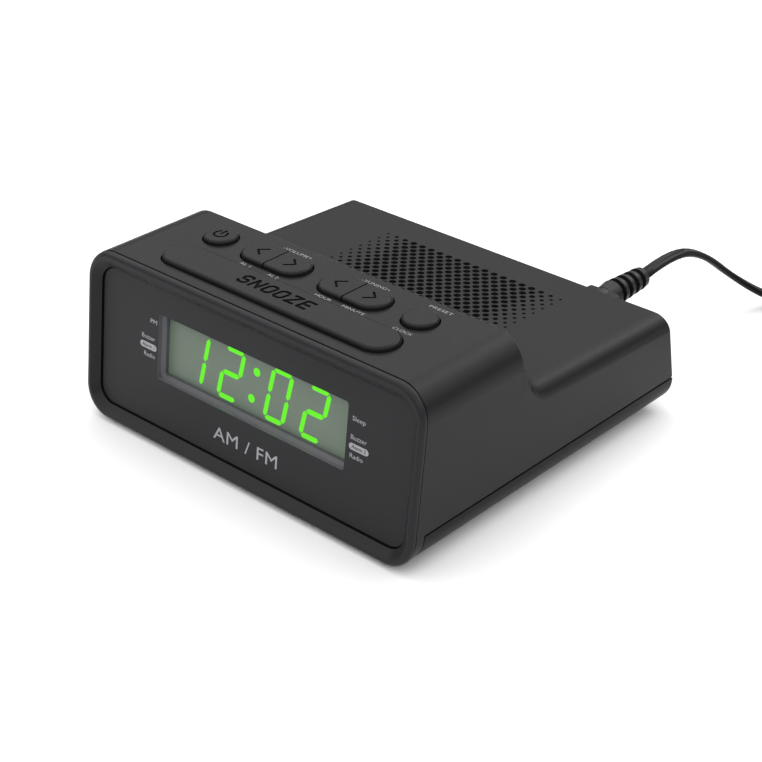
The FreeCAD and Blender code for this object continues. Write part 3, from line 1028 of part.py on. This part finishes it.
# ------------------------------------------------------------------ checks and export
doc.recompute()
bad = []
for o in doc.Objects:
    if "Invalid" in o.State or "Error" in o.State:
        bad.append((o.Label, o.State))
for o in nodes:
    if o.Shape.isNull() or not o.Shape.isValid() or not o.Shape.Solids:
        bad.append((o.Label, "shape"))
if len({o.Label for o in nodes}) != len(nodes) or len(nodes) > 60:
    bad.append(("names", len(nodes)))
if bad:
    raise RuntimeError("failed: %s" % bad)
os.makedirs("parts", exist_ok=True)
for old in os.listdir("parts"):
    if old.endswith(".step") and old[:-5] not in {o.Label for o in nodes}:
        os.remove(os.path.join("parts", old))
low, high = [1e9] * 3, [-1e9] * 3
for o in nodes:
    o.Shape.exportStep("parts/%s.step" % o.Label)
    b = o.Shape.optimalBoundingBox()
    print("%-22s %d solids  x %.2f %.2f  y %.2f %.2f  z %.2f %.2f  %.0f mm3" % (o.Label, len(o.Shape.Solids), b.XMin, b.XMax, b.YMin, b.YMax, b.ZMin, b.ZMax, o.Shape.Volume))
print(len(nodes), "nodes")
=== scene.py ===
import json
import math
import bpy
import bmesh
from mathutils import Matrix, Vector


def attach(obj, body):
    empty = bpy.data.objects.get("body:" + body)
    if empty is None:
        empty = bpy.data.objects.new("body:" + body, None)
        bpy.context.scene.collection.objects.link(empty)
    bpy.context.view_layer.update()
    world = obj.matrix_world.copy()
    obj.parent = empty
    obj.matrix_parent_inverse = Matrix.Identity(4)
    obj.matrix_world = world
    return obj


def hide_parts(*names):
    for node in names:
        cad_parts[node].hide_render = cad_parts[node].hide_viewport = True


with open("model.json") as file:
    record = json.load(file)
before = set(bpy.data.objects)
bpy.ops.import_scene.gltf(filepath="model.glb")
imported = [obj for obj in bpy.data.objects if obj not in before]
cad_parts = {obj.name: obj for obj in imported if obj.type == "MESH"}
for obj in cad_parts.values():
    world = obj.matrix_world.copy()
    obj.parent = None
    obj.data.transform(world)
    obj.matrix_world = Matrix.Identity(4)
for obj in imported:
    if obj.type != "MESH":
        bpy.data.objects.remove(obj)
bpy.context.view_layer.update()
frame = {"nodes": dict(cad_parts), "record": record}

nodes = frame["nodes"]
scene = bpy.context.scene
MM = 0.001

# ---------------------------------------------------------------- camera
cam_data = bpy.data.cameras.new("camera")
cam_data.lens = 84.2
cam_data.sensor_width = 36.0
cam_data.clip_start = 0.01
cam_data.clip_end = 20
cam = bpy.data.objects.new("camera", cam_data)
scene.collection.objects.link(cam)
right = Vector((0.7395, 0.6731, -0.0019)).normalized()
ahead = Vector((-0.5853, 0.6416, -0.4957)).normalized()
right = (right - ahead * right.dot(ahead)).normalized()
up = right.cross(ahead).normalized()
turn = Matrix((right, up, -ahead)).transposed().to_4x4()
cam.matrix_world = Matrix.Translation(Vector((308.5, -337.0, 270.6)) * MM) @ turn
scene.camera = cam
bpy.context.view_layer.update()

# ---------------------------------------------------------------- cord
ROUTE = [(37.5, 78.2, 27.7), (37.5, 93.5, 30.2), (38.6, 109.5, 25.5), (43.0, 124.0, 12.5), (51.0, 136.6, 2.6), (60.2, 147.1, 1.4), (70.6, 158.0, 1.65)]
LEAD = [(120.9, 143.1, 8.7), (122.9, 133.2, 8.6), (124.2, 123.5, 7.6), (124.6, 114.4, 6.5)]
COIL = Vector((92.0, 138.0, 0))
STEPS = 16                     # points in each turn of the coil
WIDE, THICK = 4.2, 2.2

turns = []
angle = 137.0
plan = [(2.0, 29.3, 20.7, 1.65, 1.65), (0.25, 20.7, 20.7, 1.65, 4.0), (2.0, 20.7, 29.3, 4.0, 4.0), (0.25, 29.3, 29.3, 4.0, 6.35),
        (2.0, 29.3, 20.7, 6.35, 6.35), (0.25, 20.7, 20.7, 6.35, 8.7), (2.0, 20.7, 29.3, 8.7, 8.7), (0.6, 29.3, 29.3, 8.7, 8.7)]
for count, r0, r1, z0, z1 in plan:
    n = max(3, round(count * STEPS))
    for k in range(1, n + 1):
        s = k / n
        a = math.radians(angle - 360 * count * s)
        r = r0 + (r1 - r0) * s
        turns.append((COIL.x + r * math.cos(a), COIL.y + r * math.sin(a), z0 + (z1 - z0) * s))
    angle -= 360 * count
turns.pop()
POINTS = ROUTE + turns + LEAD

line = bpy.data.curves.new("cord_line", "CURVE")
line.dimensions = "3D"
line.resolution_u = 6
spline = line.splines.new("NURBS")
spline.points.add(len(POINTS) - 1)
for p, q in zip(spline.points, POINTS):
    p.co = (q[0] * MM, q[1] * MM, q[2] * MM, 1)
spline.order_u = 3
spline.use_endpoint_u = True
line_object = bpy.data.objects.new("cord_line", line)
scene.collection.objects.link(line_object)
bpy.context.view_layer.update()
bare = bpy.data.meshes.new_from_object(line_object.evaluated_get(bpy.context.evaluated_depsgraph_get()))
path = [v.co.copy() for v in bare.vertices]
bpy.data.objects.remove(line_object)
bpy.data.meshes.remove(bare)


def twin_section():
    """Two round strands side by side with a shallow groove between them."""
    out = []
    r = THICK / 2 * MM
    off = (WIDE / 2 - THICK / 2) * MM
    for side in (1, -1):
        for k in range(11):
            a = math.radians(-128 + 256 * k / 10)
            x, y = off + r * math.cos(a), r * math.sin(a)
            if side > 0:
                out.append((x, y))
            else:
                out.append((-x, -y))
    return out


def sweep(name, points, section, closed_ends=True):
    mesh = bpy.data.meshes.new(name)
    bm = bmesh.new()
    rings = []
    upward = Vector((0, 0, 1))
    for i, p in enumerate(points):
        a = points[max(0, i - 1)]
        b = points[min(len(points) - 1, i + 1)]
        t = (b - a).normalized()
        side = t.cross(upward).normalized()
        top = side.cross(t).normalized()
        rings.append([bm.verts.new(p + side * x + top * y) for x, y in section])
    n = len(section)
    for a, b in zip(rings[:-1], rings[1:]):
        for k in range(n):
            bm.faces.new((a[k], a[(k + 1) % n], b[(k + 1) % n], b[k]))
    if closed_ends:
        bm.faces.new(list(reversed(rings[0])))
        bm.faces.new(rings[-1])
    bmesh.ops.recalc_face_normals(bm, faces=bm.faces)
    bm.to_mesh(mesh)
    bm.free()
    for f in mesh.polygons:
        f.use_smooth = True
    o = bpy.data.objects.new(name, mesh)
    scene.collection.objects.link(o)
    return o


cord = sweep("mains_cord", path, twin_section())
length = sum((b - a).length for a, b in zip(path[:-1], path[1:]))
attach(cord, "cabinet")
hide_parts("power_cord", "cord_coil", "plug_lead")
print("cord length", round(length, 4), "points", len(POINTS))


# ---------------------------------------------------------------- materials
def srgb(*c):
    out = []
    for v in c:
        v = v / 255.0
        out.append(v / 12.92 if v <= 0.04045 else ((v + 0.055) / 1.055) ** 2.4)
    return tuple(out)


def material(name, color, rough=0.45, rough_span=0.08, grain=2600.0, grain_depth=0.02, tone=0.08, tone_scale=35.0, metallic=0.0,
             specular=0.5, coat=0.0, coat_rough=0.2, emission=None, glow=0.0, wave=None):
    m = bpy.data.materials.new(name)
    m.use_nodes = True
    m.diffuse_color = (*color, 1)
    t = m.node_tree
    for n in list(t.nodes):
        t.nodes.remove(n)
    out = t.nodes.new("ShaderNodeOutputMaterial")
    s = t.nodes.new("ShaderNodeBsdfPrincipled")
    t.links.new(s.outputs[0], out.inputs[0])
    s.inputs["Metallic"].default_value = metallic
    s.inputs["Specular IOR Level"].default_value = specular
    s.inputs["Coat Weight"].default_value = coat
    s.inputs["Coat Roughness"].default_value = coat_rough
    where = t.nodes.new("ShaderNodeTexCoord")
    soft = t.nodes.new("ShaderNodeTexNoise")
    soft.inputs["Scale"].default_value = tone_scale
    soft.inputs["Detail"].default_value = 5
    t.links.new(where.outputs["Object"], soft.inputs["Vector"])
    ramp = t.nodes.new("ShaderNodeValToRGB")
    ramp.color_ramp.elements[0].position = 0.3
    ramp.color_ramp.elements[1].position = 0.7
    ramp.color_ramp.elements[0].color = (*[c * (1 - tone) for c in color], 1)
    ramp.color_ramp.elements[1].color = (*[min(1, c * (1 + tone)) for c in color], 1)
    t.links.new(soft.outputs["Fac"], ramp.inputs["Fac"])
    colour = ramp.outputs["Color"]
    t.links.new(colour, s.inputs["Base Color"])
    fine = t.nodes.new("ShaderNodeTexNoise")
    fine.inputs["Scale"].default_value = grain
    fine.inputs["Detail"].default_value = 3
    t.links.new(where.outputs["Object"], fine.inputs["Vector"])
    span = t.nodes.new("ShaderNodeMapRange")
    span.inputs["From Min"].default_value = 0.3
    span.inputs["From Max"].default_value = 0.7
    span.inputs["To Min"].default_value = max(0.02, rough - rough_span)
    span.inputs["To Max"].default_value = min(1.0, rough + rough_span)
    t.links.new(soft.outputs["Fac"] if grain_depth <= 0 else fine.outputs["Fac"], span.inputs["Value"])
    t.links.new(span.outputs[0], s.inputs["Roughness"])
    height = fine.outputs["Fac"]
    if wave:
        w = t.nodes.new("ShaderNodeTexWave")
        w.bands_direction = wave[0]
        w.inputs["Scale"].default_value = wave[1]
        w.inputs["Distortion"].default_value = wave[2]
        t.links.new(where.outputs["Object"], w.inputs["Vector"])
        height = w.outputs["Fac"]
    if grain_depth > 0:
        b = t.nodes.new("ShaderNodeBump")
        b.inputs["Strength"].default_value = 0.5
        b.inputs["Distance"].default_value = grain_depth * MM
        t.links.new(height, b.inputs["Height"])
        t.links.new(b.outputs["Normal"], s.inputs["Normal"])
    if emission:
        s.inputs["Emission Color"].default_value = (*emission, 1)
        s.inputs["Emission Strength"].default_value = glow
    return m


CASE = srgb(29, 29, 30)
MAT = {
    "cabinet": material("moulded_case", CASE, rough=0.38, rough_span=0.05, grain=2400, grain_depth=0.006, tone=0.05, specular=0.14),
    "tray": material("moulded_tray", srgb(23, 23, 24), rough=0.42, rough_span=0.05, grain=2400, grain_depth=0.006, tone=0.05, specular=0.09),
    "bezel": material("satin_bezel", srgb(33, 33, 35), rough=0.42, rough_span=0.03, grain=3200, grain_depth=0.0, tone=0.05, specular=0.17),
    "panel": material("front_sheet", srgb(38, 38, 40), rough=0.38, rough_span=0.05, grain=3000, grain_depth=0.003, tone=0.05, specular=0.13),
    "holder": material("display_frame", srgb(88, 88, 92), rough=0.45, rough_span=0.06, grain=2400, grain_depth=0.006, tone=0.05, specular=0.3),
    "filter": material("display_filter", srgb(104, 117, 104), rough=0.3, rough_span=0.03, grain=1500, grain_depth=0.0, tone=0.04, tone_scale=18, specular=0.25),
    "module": material("display_body", srgb(100, 108, 100), rough=0.5, tone=0.06),
    "digits": material("lit_digits", srgb(20, 60, 4), rough=0.6, rough_span=0.1, grain=1500, grain_depth=0.003, tone=0.05, specular=0.0, emission=srgb(110, 240, 55), glow=1.0),
    "buttons": material("moulded_keys", srgb(29, 29, 30), rough=0.38, rough_span=0.05, grain=2600, grain_depth=0.006, tone=0.05, specular=0.14),
    "plunger": material("key_plungers", srgb(205, 203, 192), rough=0.4),
    "switch": material("switch_bodies", srgb(34, 34, 35), rough=0.4),
    "circuit": material("circuit_board", srgb(150, 118, 66), rough=0.35, tone=0.14, tone_scale=300, coat=0.3),
    "screw": material("plated_screws", srgb(190, 190, 186), rough=0.32, metallic=1.0, grain=900, grain_depth=0.01),
    "capacitor": material("capacitor_sleeves", srgb(38, 52, 96), rough=0.3, coat=0.4),
    "chip": material("chip_bodies", srgb(30, 30, 31), rough=0.5),
    "ribbon": material("ribbon_cable", srgb(180, 180, 176), rough=0.45, wave=("X", 800, 0.0), grain_depth=0.05),
    "basket": material("pressed_steel", srgb(160, 160, 158), rough=0.35, metallic=1.0, grain=700, grain_depth=0.01),
    "paper": material("pulp_cone", srgb(30, 30, 31), rough=0.85, grain=1200, grain_depth=0.08, tone=0.2, tone_scale=500),
    "copper": material("enamelled_wire", srgb(184, 108, 58), rough=0.28, metallic=1.0, wave=("X", 1400, 0.0), grain_depth=0.05),
    "ferrite": material("ferrite", srgb(52, 52, 54), rough=0.6, grain=1200, grain_depth=0.05, tone=0.15, tone_scale=400),
    "steel": material("laminated_steel", srgb(120, 120, 122), rough=0.5, metallic=1.0, wave=("Y", 900, 0.3), grain_depth=0.06),
    "winding": material("winding_tape", srgb(190, 160, 62), rough=0.25, coat=0.4, wave=("Z", 300, 0.5), grain_depth=0.04),
    "contact": material("plated_contacts", srgb(205, 203, 196), rough=0.2, metallic=1.0, grain=900, grain_depth=0.01),
    "foot": material("rubber_feet", srgb(30, 30, 31), rough=0.75, grain=1500, grain_depth=0.05, tone=0.12),
    "cord": material("soft_cord", srgb(22, 22, 23), rough=0.32, rough_span=0.06, grain=1300, grain_depth=0.008, tone=0.08, specular=0.14),
    "relief": material("soft_relief", srgb(25, 25, 25), rough=0.42, rough_span=0.08, grain=1500, grain_depth=0.01, tone=0.08, specular=0.3),
    "tie": material("wire_tie", srgb(34, 34, 35), rough=0.5, wave=("Z", 700, 0.4), grain_depth=0.05),
    "blade": material("plug_brass", srgb(200, 178, 110), rough=0.25, metallic=1.0, grain=900, grain_depth=0.012),
}
OWN = {"lower_housing": "tray", "battery_door": "tray", "strain_relief": "relief", "plug_body": "relief"}
slot_of = {s["node"]: s["material_slot"] for s in frame["record"]["subparts"]}
for name, o in nodes.items():
    m = MAT[OWN.get(name, slot_of[name])]
    if not o.material_slots:
        o.data.materials.append(m)
    for s in o.material_slots:
        s.material = m
cord.data.materials.append(MAT["cord"])

# the cut lines on the keys are darkened inside with painted shade: their floors and walls take a near-black material
RECESS_SHADE = material("painted_recess_shade", srgb(14, 14, 14), rough=0.75, grain=1500, grain_depth=0.002, tone=0.05, specular=0.05)
for name, o in nodes.items():
    if slot_of[name] != "buttons":
        continue
    o.data.materials.append(RECESS_SHADE)
    place = o.matrix_world
    turn_only = place.to_3x3()
    top = max((place @ v.co).z for v in o.data.vertices)
    for f in o.data.polygons:
        down = (top - (place @ f.center).z) / MM
        tilt = (turn_only @ f.normal).normalized().z
        if (tilt > 0.97 and 0.2 < down < 0.5) or (abs(tilt) < 0.3 and down < 0.36):
            f.material_index = len(o.data.materials) - 1

# the inner wall of the bezel, down in the gap around the front sheet, stays dark: it takes the near-black material as
# painted shade
rim = nodes["front_bezel"]
rim.data.materials.append(RECESS_SHADE)
LEAN_N = Vector((0, -math.cos(math.radians(7.0)), math.sin(math.radians(7.0))))
for f in rim.data.polygons:
    spot = rim.matrix_world @ f.center / MM
    way = (rim.matrix_world.to_3x3() @ f.normal).normalized()
    inner = abs(spot.x) < 61.0 and 4.0 < spot.z < 49.0
    if abs(way.dot(LEAN_N)) < 0.3 and inner:
        f.material_index = len(rim.data.materials) - 1

# the cut edges of the window in the front sheet are given a lighter grey as a painted highlight
EDGE_HIGHLIGHT = material("painted_edge_highlight", srgb(96, 96, 100), rough=0.4, grain=1500, grain_depth=0.0, tone=0.04, specular=0.3)
sheet = nodes["front_panel"]
sheet.data.materials.append(EDGE_HIGHLIGHT)
for f in sheet.data.polygons:
    spot = sheet.matrix_world @ f.center / MM
    way = (sheet.matrix_world.to_3x3() @ f.normal).normalized()
    facing = -way.y * math.cos(math.radians(7.0)) + way.z * math.sin(math.radians(7.0))
    if abs(facing) < 0.4 and abs(spot.x) < 38.5 and 16.0 < spot.z < 43.0:
        f.material_index = len(sheet.data.materials) - 1

# ---------------------------------------------------------------- printed markings
PRINT = material("label_ink", srgb(152, 152, 154), rough=0.5, grain=900, grain_depth=0.002, tone=0.06)
PRINT_DIM = material("label_ink_front", srgb(150, 150, 156), rough=0.45, grain=900, grain_depth=0.002, tone=0.06)
LEAN = math.radians(7.0)
TOP_Z = 52.7
FRONT = Matrix(((1, 0, 0), (0, math.sin(LEAN), -math.cos(LEAN)), (0, math.cos(LEAN), math.sin(LEAN))))
PANEL_N = -2.7


def text_mesh(name, words, size, ink, spacing=1.0, weight=0.0):
    c = bpy.data.curves.new(name, "FONT")
    c.body = words
    c.size = size * MM
    c.align_x = "CENTER"
    c.align_y = "CENTER"
    c.space_character = spacing
    c.extrude = 0.02 * MM
    c.offset = weight * MM
    c.resolution_u = 4
    o = bpy.data.objects.new(name, c)
    scene.collection.objects.link(o)
    bpy.context.view_layer.update()
    mesh = bpy.data.meshes.new_from_object(o.evaluated_get(bpy.context.evaluated_depsgraph_get()))
    bpy.data.objects.remove(o)
    o = bpy.data.objects.new(name, mesh)
    scene.collection.objects.link(o)
    mesh.materials.clear()
    mesh.materials.append(ink)
    return o


def on_top(name, words, x, y_b, size, ink=None, spacing=1.0, width=None):
    o = text_mesh(name, words, size, ink or PRINT, spacing, -0.025)
    fit(o, width)
    o.data.transform(Matrix.Translation(Vector((x, y_b - 59.0, TOP_Z + 0.03)) * MM))
    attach(o, "cabinet")
    return o


def fit(o, width):
    if width:
        xs = [v.co.x for v in o.data.vertices]
        k = width * MM / (max(xs) - min(xs))
        mid = (max(xs) + min(xs)) / 2
        o.data.transform(Matrix.Diagonal((k, 1, 1, 1)) @ Matrix.Translation((-mid, 0, 0)))


def face_place(x, z_b, n=PANEL_N + 0.03):
    """A point on the leaning panel, from its height above the cabinet's underside."""
    v = (z_b - n * math.sin(LEAN)) / math.cos(LEAN)
    p = FRONT @ Vector((x, v, n)) + Vector((0, -59.0, 1.2))
    return Matrix.Translation(p * MM) @ FRONT.to_4x4()


def on_face(name, words, x, z_b, size, ink=None, spacing=1.0, weight=0.0, width=None):
    o = text_mesh(name, words, size, ink or PRINT_DIM, spacing, weight)
    fit(o, width)
    o.data.transform(face_place(x, z_b))
    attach(o, "cabinet")
    return o


on_top("mark_volume", "-VOLUME+", -15.1, 42.0, 1.75, width=11.0)
on_top("mark_al_1", "AL 1", -20.8, 27.0, 1.75, width=3.8)
on_top("mark_al_2", "AL 2", -9.9, 27.0, 1.75, width=3.8)
on_top("mark_hour", "HOUR", 9.2, 27.0, 1.75, width=5.8)
on_top("mark_minute", "MINUTE", 20.3, 27.0, 1.75, width=7.9)
on_top("mark_tuning", "-TUNING+", 14.9, 42.0, 1.75, width=10.1)
on_top("mark_preset", "PRESET", 37.7, 42.6, 1.75, width=8.0)
on_top("mark_clock", "CLOCK", 37.9, 26.9, 1.75, width=6.6)

on_face("mark_pm", "PM", -38.0, 35.2, 1.9, width=2.7)
on_face("mark_buzzer_left", "Buzzer", -40.0, 29.9, 1.9, width=5.6)
on_face("mark_radio_left", "Radio", -39.4, 24.6, 1.9, width=4.6)
on_face("mark_sleep", "Sleep", 41.0, 34.6, 1.9, width=4.6)
on_face("mark_buzzer_right", "Buzzer", 41.4, 29.3, 1.9, width=5.6)
on_face("mark_radio_right", "Radio", 41.0, 24.0, 1.9, width=4.6)
on_face("mark_band", "AM / FM", 0.5, 11.0, 5.6, spacing=1.05, width=25.0)


def pill(name, x, z_b, wide, tall, words):
    n = 12
    pts = []
    r = tall / 2
    for k in range(n + 1):
        a = math.radians(-90 + 180 * k / n)
        pts.append((wide / 2 - r + r * math.cos(a), r * math.sin(a)))
    for k in range(n + 1):
        a = math.radians(90 + 180 * k / n)
        pts.append((-wide / 2 + r + r * math.cos(a), r * math.sin(a)))
    bm = bmesh.new()
    low = [bm.verts.new((px * MM, py * MM, -0.02 * MM)) for px, py in pts]
    high = [bm.verts.new((px * MM, py * MM, 0.02 * MM)) for px, py in pts]
    bm.faces.new(high)
    bm.faces.new(list(reversed(low)))
    for k in range(len(pts)):
        j = (k + 1) % len(pts)
        bm.faces.new((low[k], low[j], high[j], high[k]))
    mesh = bpy.data.meshes.new(name)
    bm.to_mesh(mesh)
    bm.free()
    mesh.materials.append(PRINT_DIM)
    o = bpy.data.objects.new(name, mesh)
    scene.collection.objects.link(o)
    o.data.transform(face_place(x, z_b))
    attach(o, "cabinet")
    t = text_mesh(name + "_words", words, 1.5, MAT["panel"])
    fit(t, wide - 1.9)
    t.data.transform(face_place(x, z_b, PANEL_N + 0.07))
    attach(t, "cabinet")


pill("mark_alarm_1", -40.0, 27.3, 6.9, 1.9, "Alarm 1")
pill("mark_alarm_2", 41.6, 26.7, 6.9, 1.9, "Alarm 2")

# ---------------------------------------------------------------- floor and light
bm = bmesh.new()
bmesh.ops.create_grid(bm, x_segments=4, y_segments=4, size=6.0)
mesh = bpy.data.meshes.new("floor")
bm.to_mesh(mesh)
bm.free()
floor = bpy.data.objects.new("floor", mesh)
scene.collection.objects.link(floor)
floor.location = (0, 0, 0)
ground = material("floor_paper", (0.86, 0.86, 0.86), rough=0.9, rough_span=0.02, grain=40, grain_depth=0.0, tone=0.004, tone_scale=3, specular=0.1)
mesh.materials.append(ground)

world = bpy.data.worlds.new("studio")
scene.world = world
world.use_nodes = True
wt = world.node_tree
back = wt.nodes["Background"]
back.inputs["Strength"].default_value = 2.2
sky_at = wt.nodes.new("ShaderNodeTexCoord")
sky_way = wt.nodes.new("ShaderNodeSeparateXYZ")
sky = wt.nodes.new("ShaderNodeValToRGB")
wt.links.new(sky_at.outputs["Generated"], sky_way.inputs[0])
wt.links.new(sky_way.outputs["Z"], sky.inputs["Fac"])
wt.links.new(sky.outputs["Color"], back.inputs["Color"])
# a dim horizon under a bright ceiling
sky.color_ramp.elements[0].position = 0.3
sky.color_ramp.elements[0].color = (0.02, 0.02, 0.02, 1)
sky.color_ramp.elements[1].position = 0.51
sky.color_ramp.elements[1].color = (1.0, 1.0, 1.0, 1)
zenith = sky.color_ramp.elements.new(0.8)
zenith.color = (0.64, 0.64, 0.64, 1)
scene.view_settings.view_transform = "Standard"
scene.view_settings.look = "None"


def light(name, at, aim, size, power, size_y=None):
    d = bpy.data.lights.new(name, "AREA")
    d.energy = power
    d.size = size
    if size_y:
        d.shape = "RECTANGLE"
        d.size_y = size_y
    o = bpy.data.objects.new(name, d)
    scene.collection.objects.link(o)
    o.location = at
    o.rotation_euler = (Vector(aim) - Vector(at)).to_track_quat("-Z", "Y").to_euler()
    return o


light("top_light", (-0.35, 0.1, 1.25), (0, 0, 0.02), 0.9, 4.0)
light("back_light", (0.2, 0.95, 0.95), (0, 0, 0.02), 0.6, 3.0)
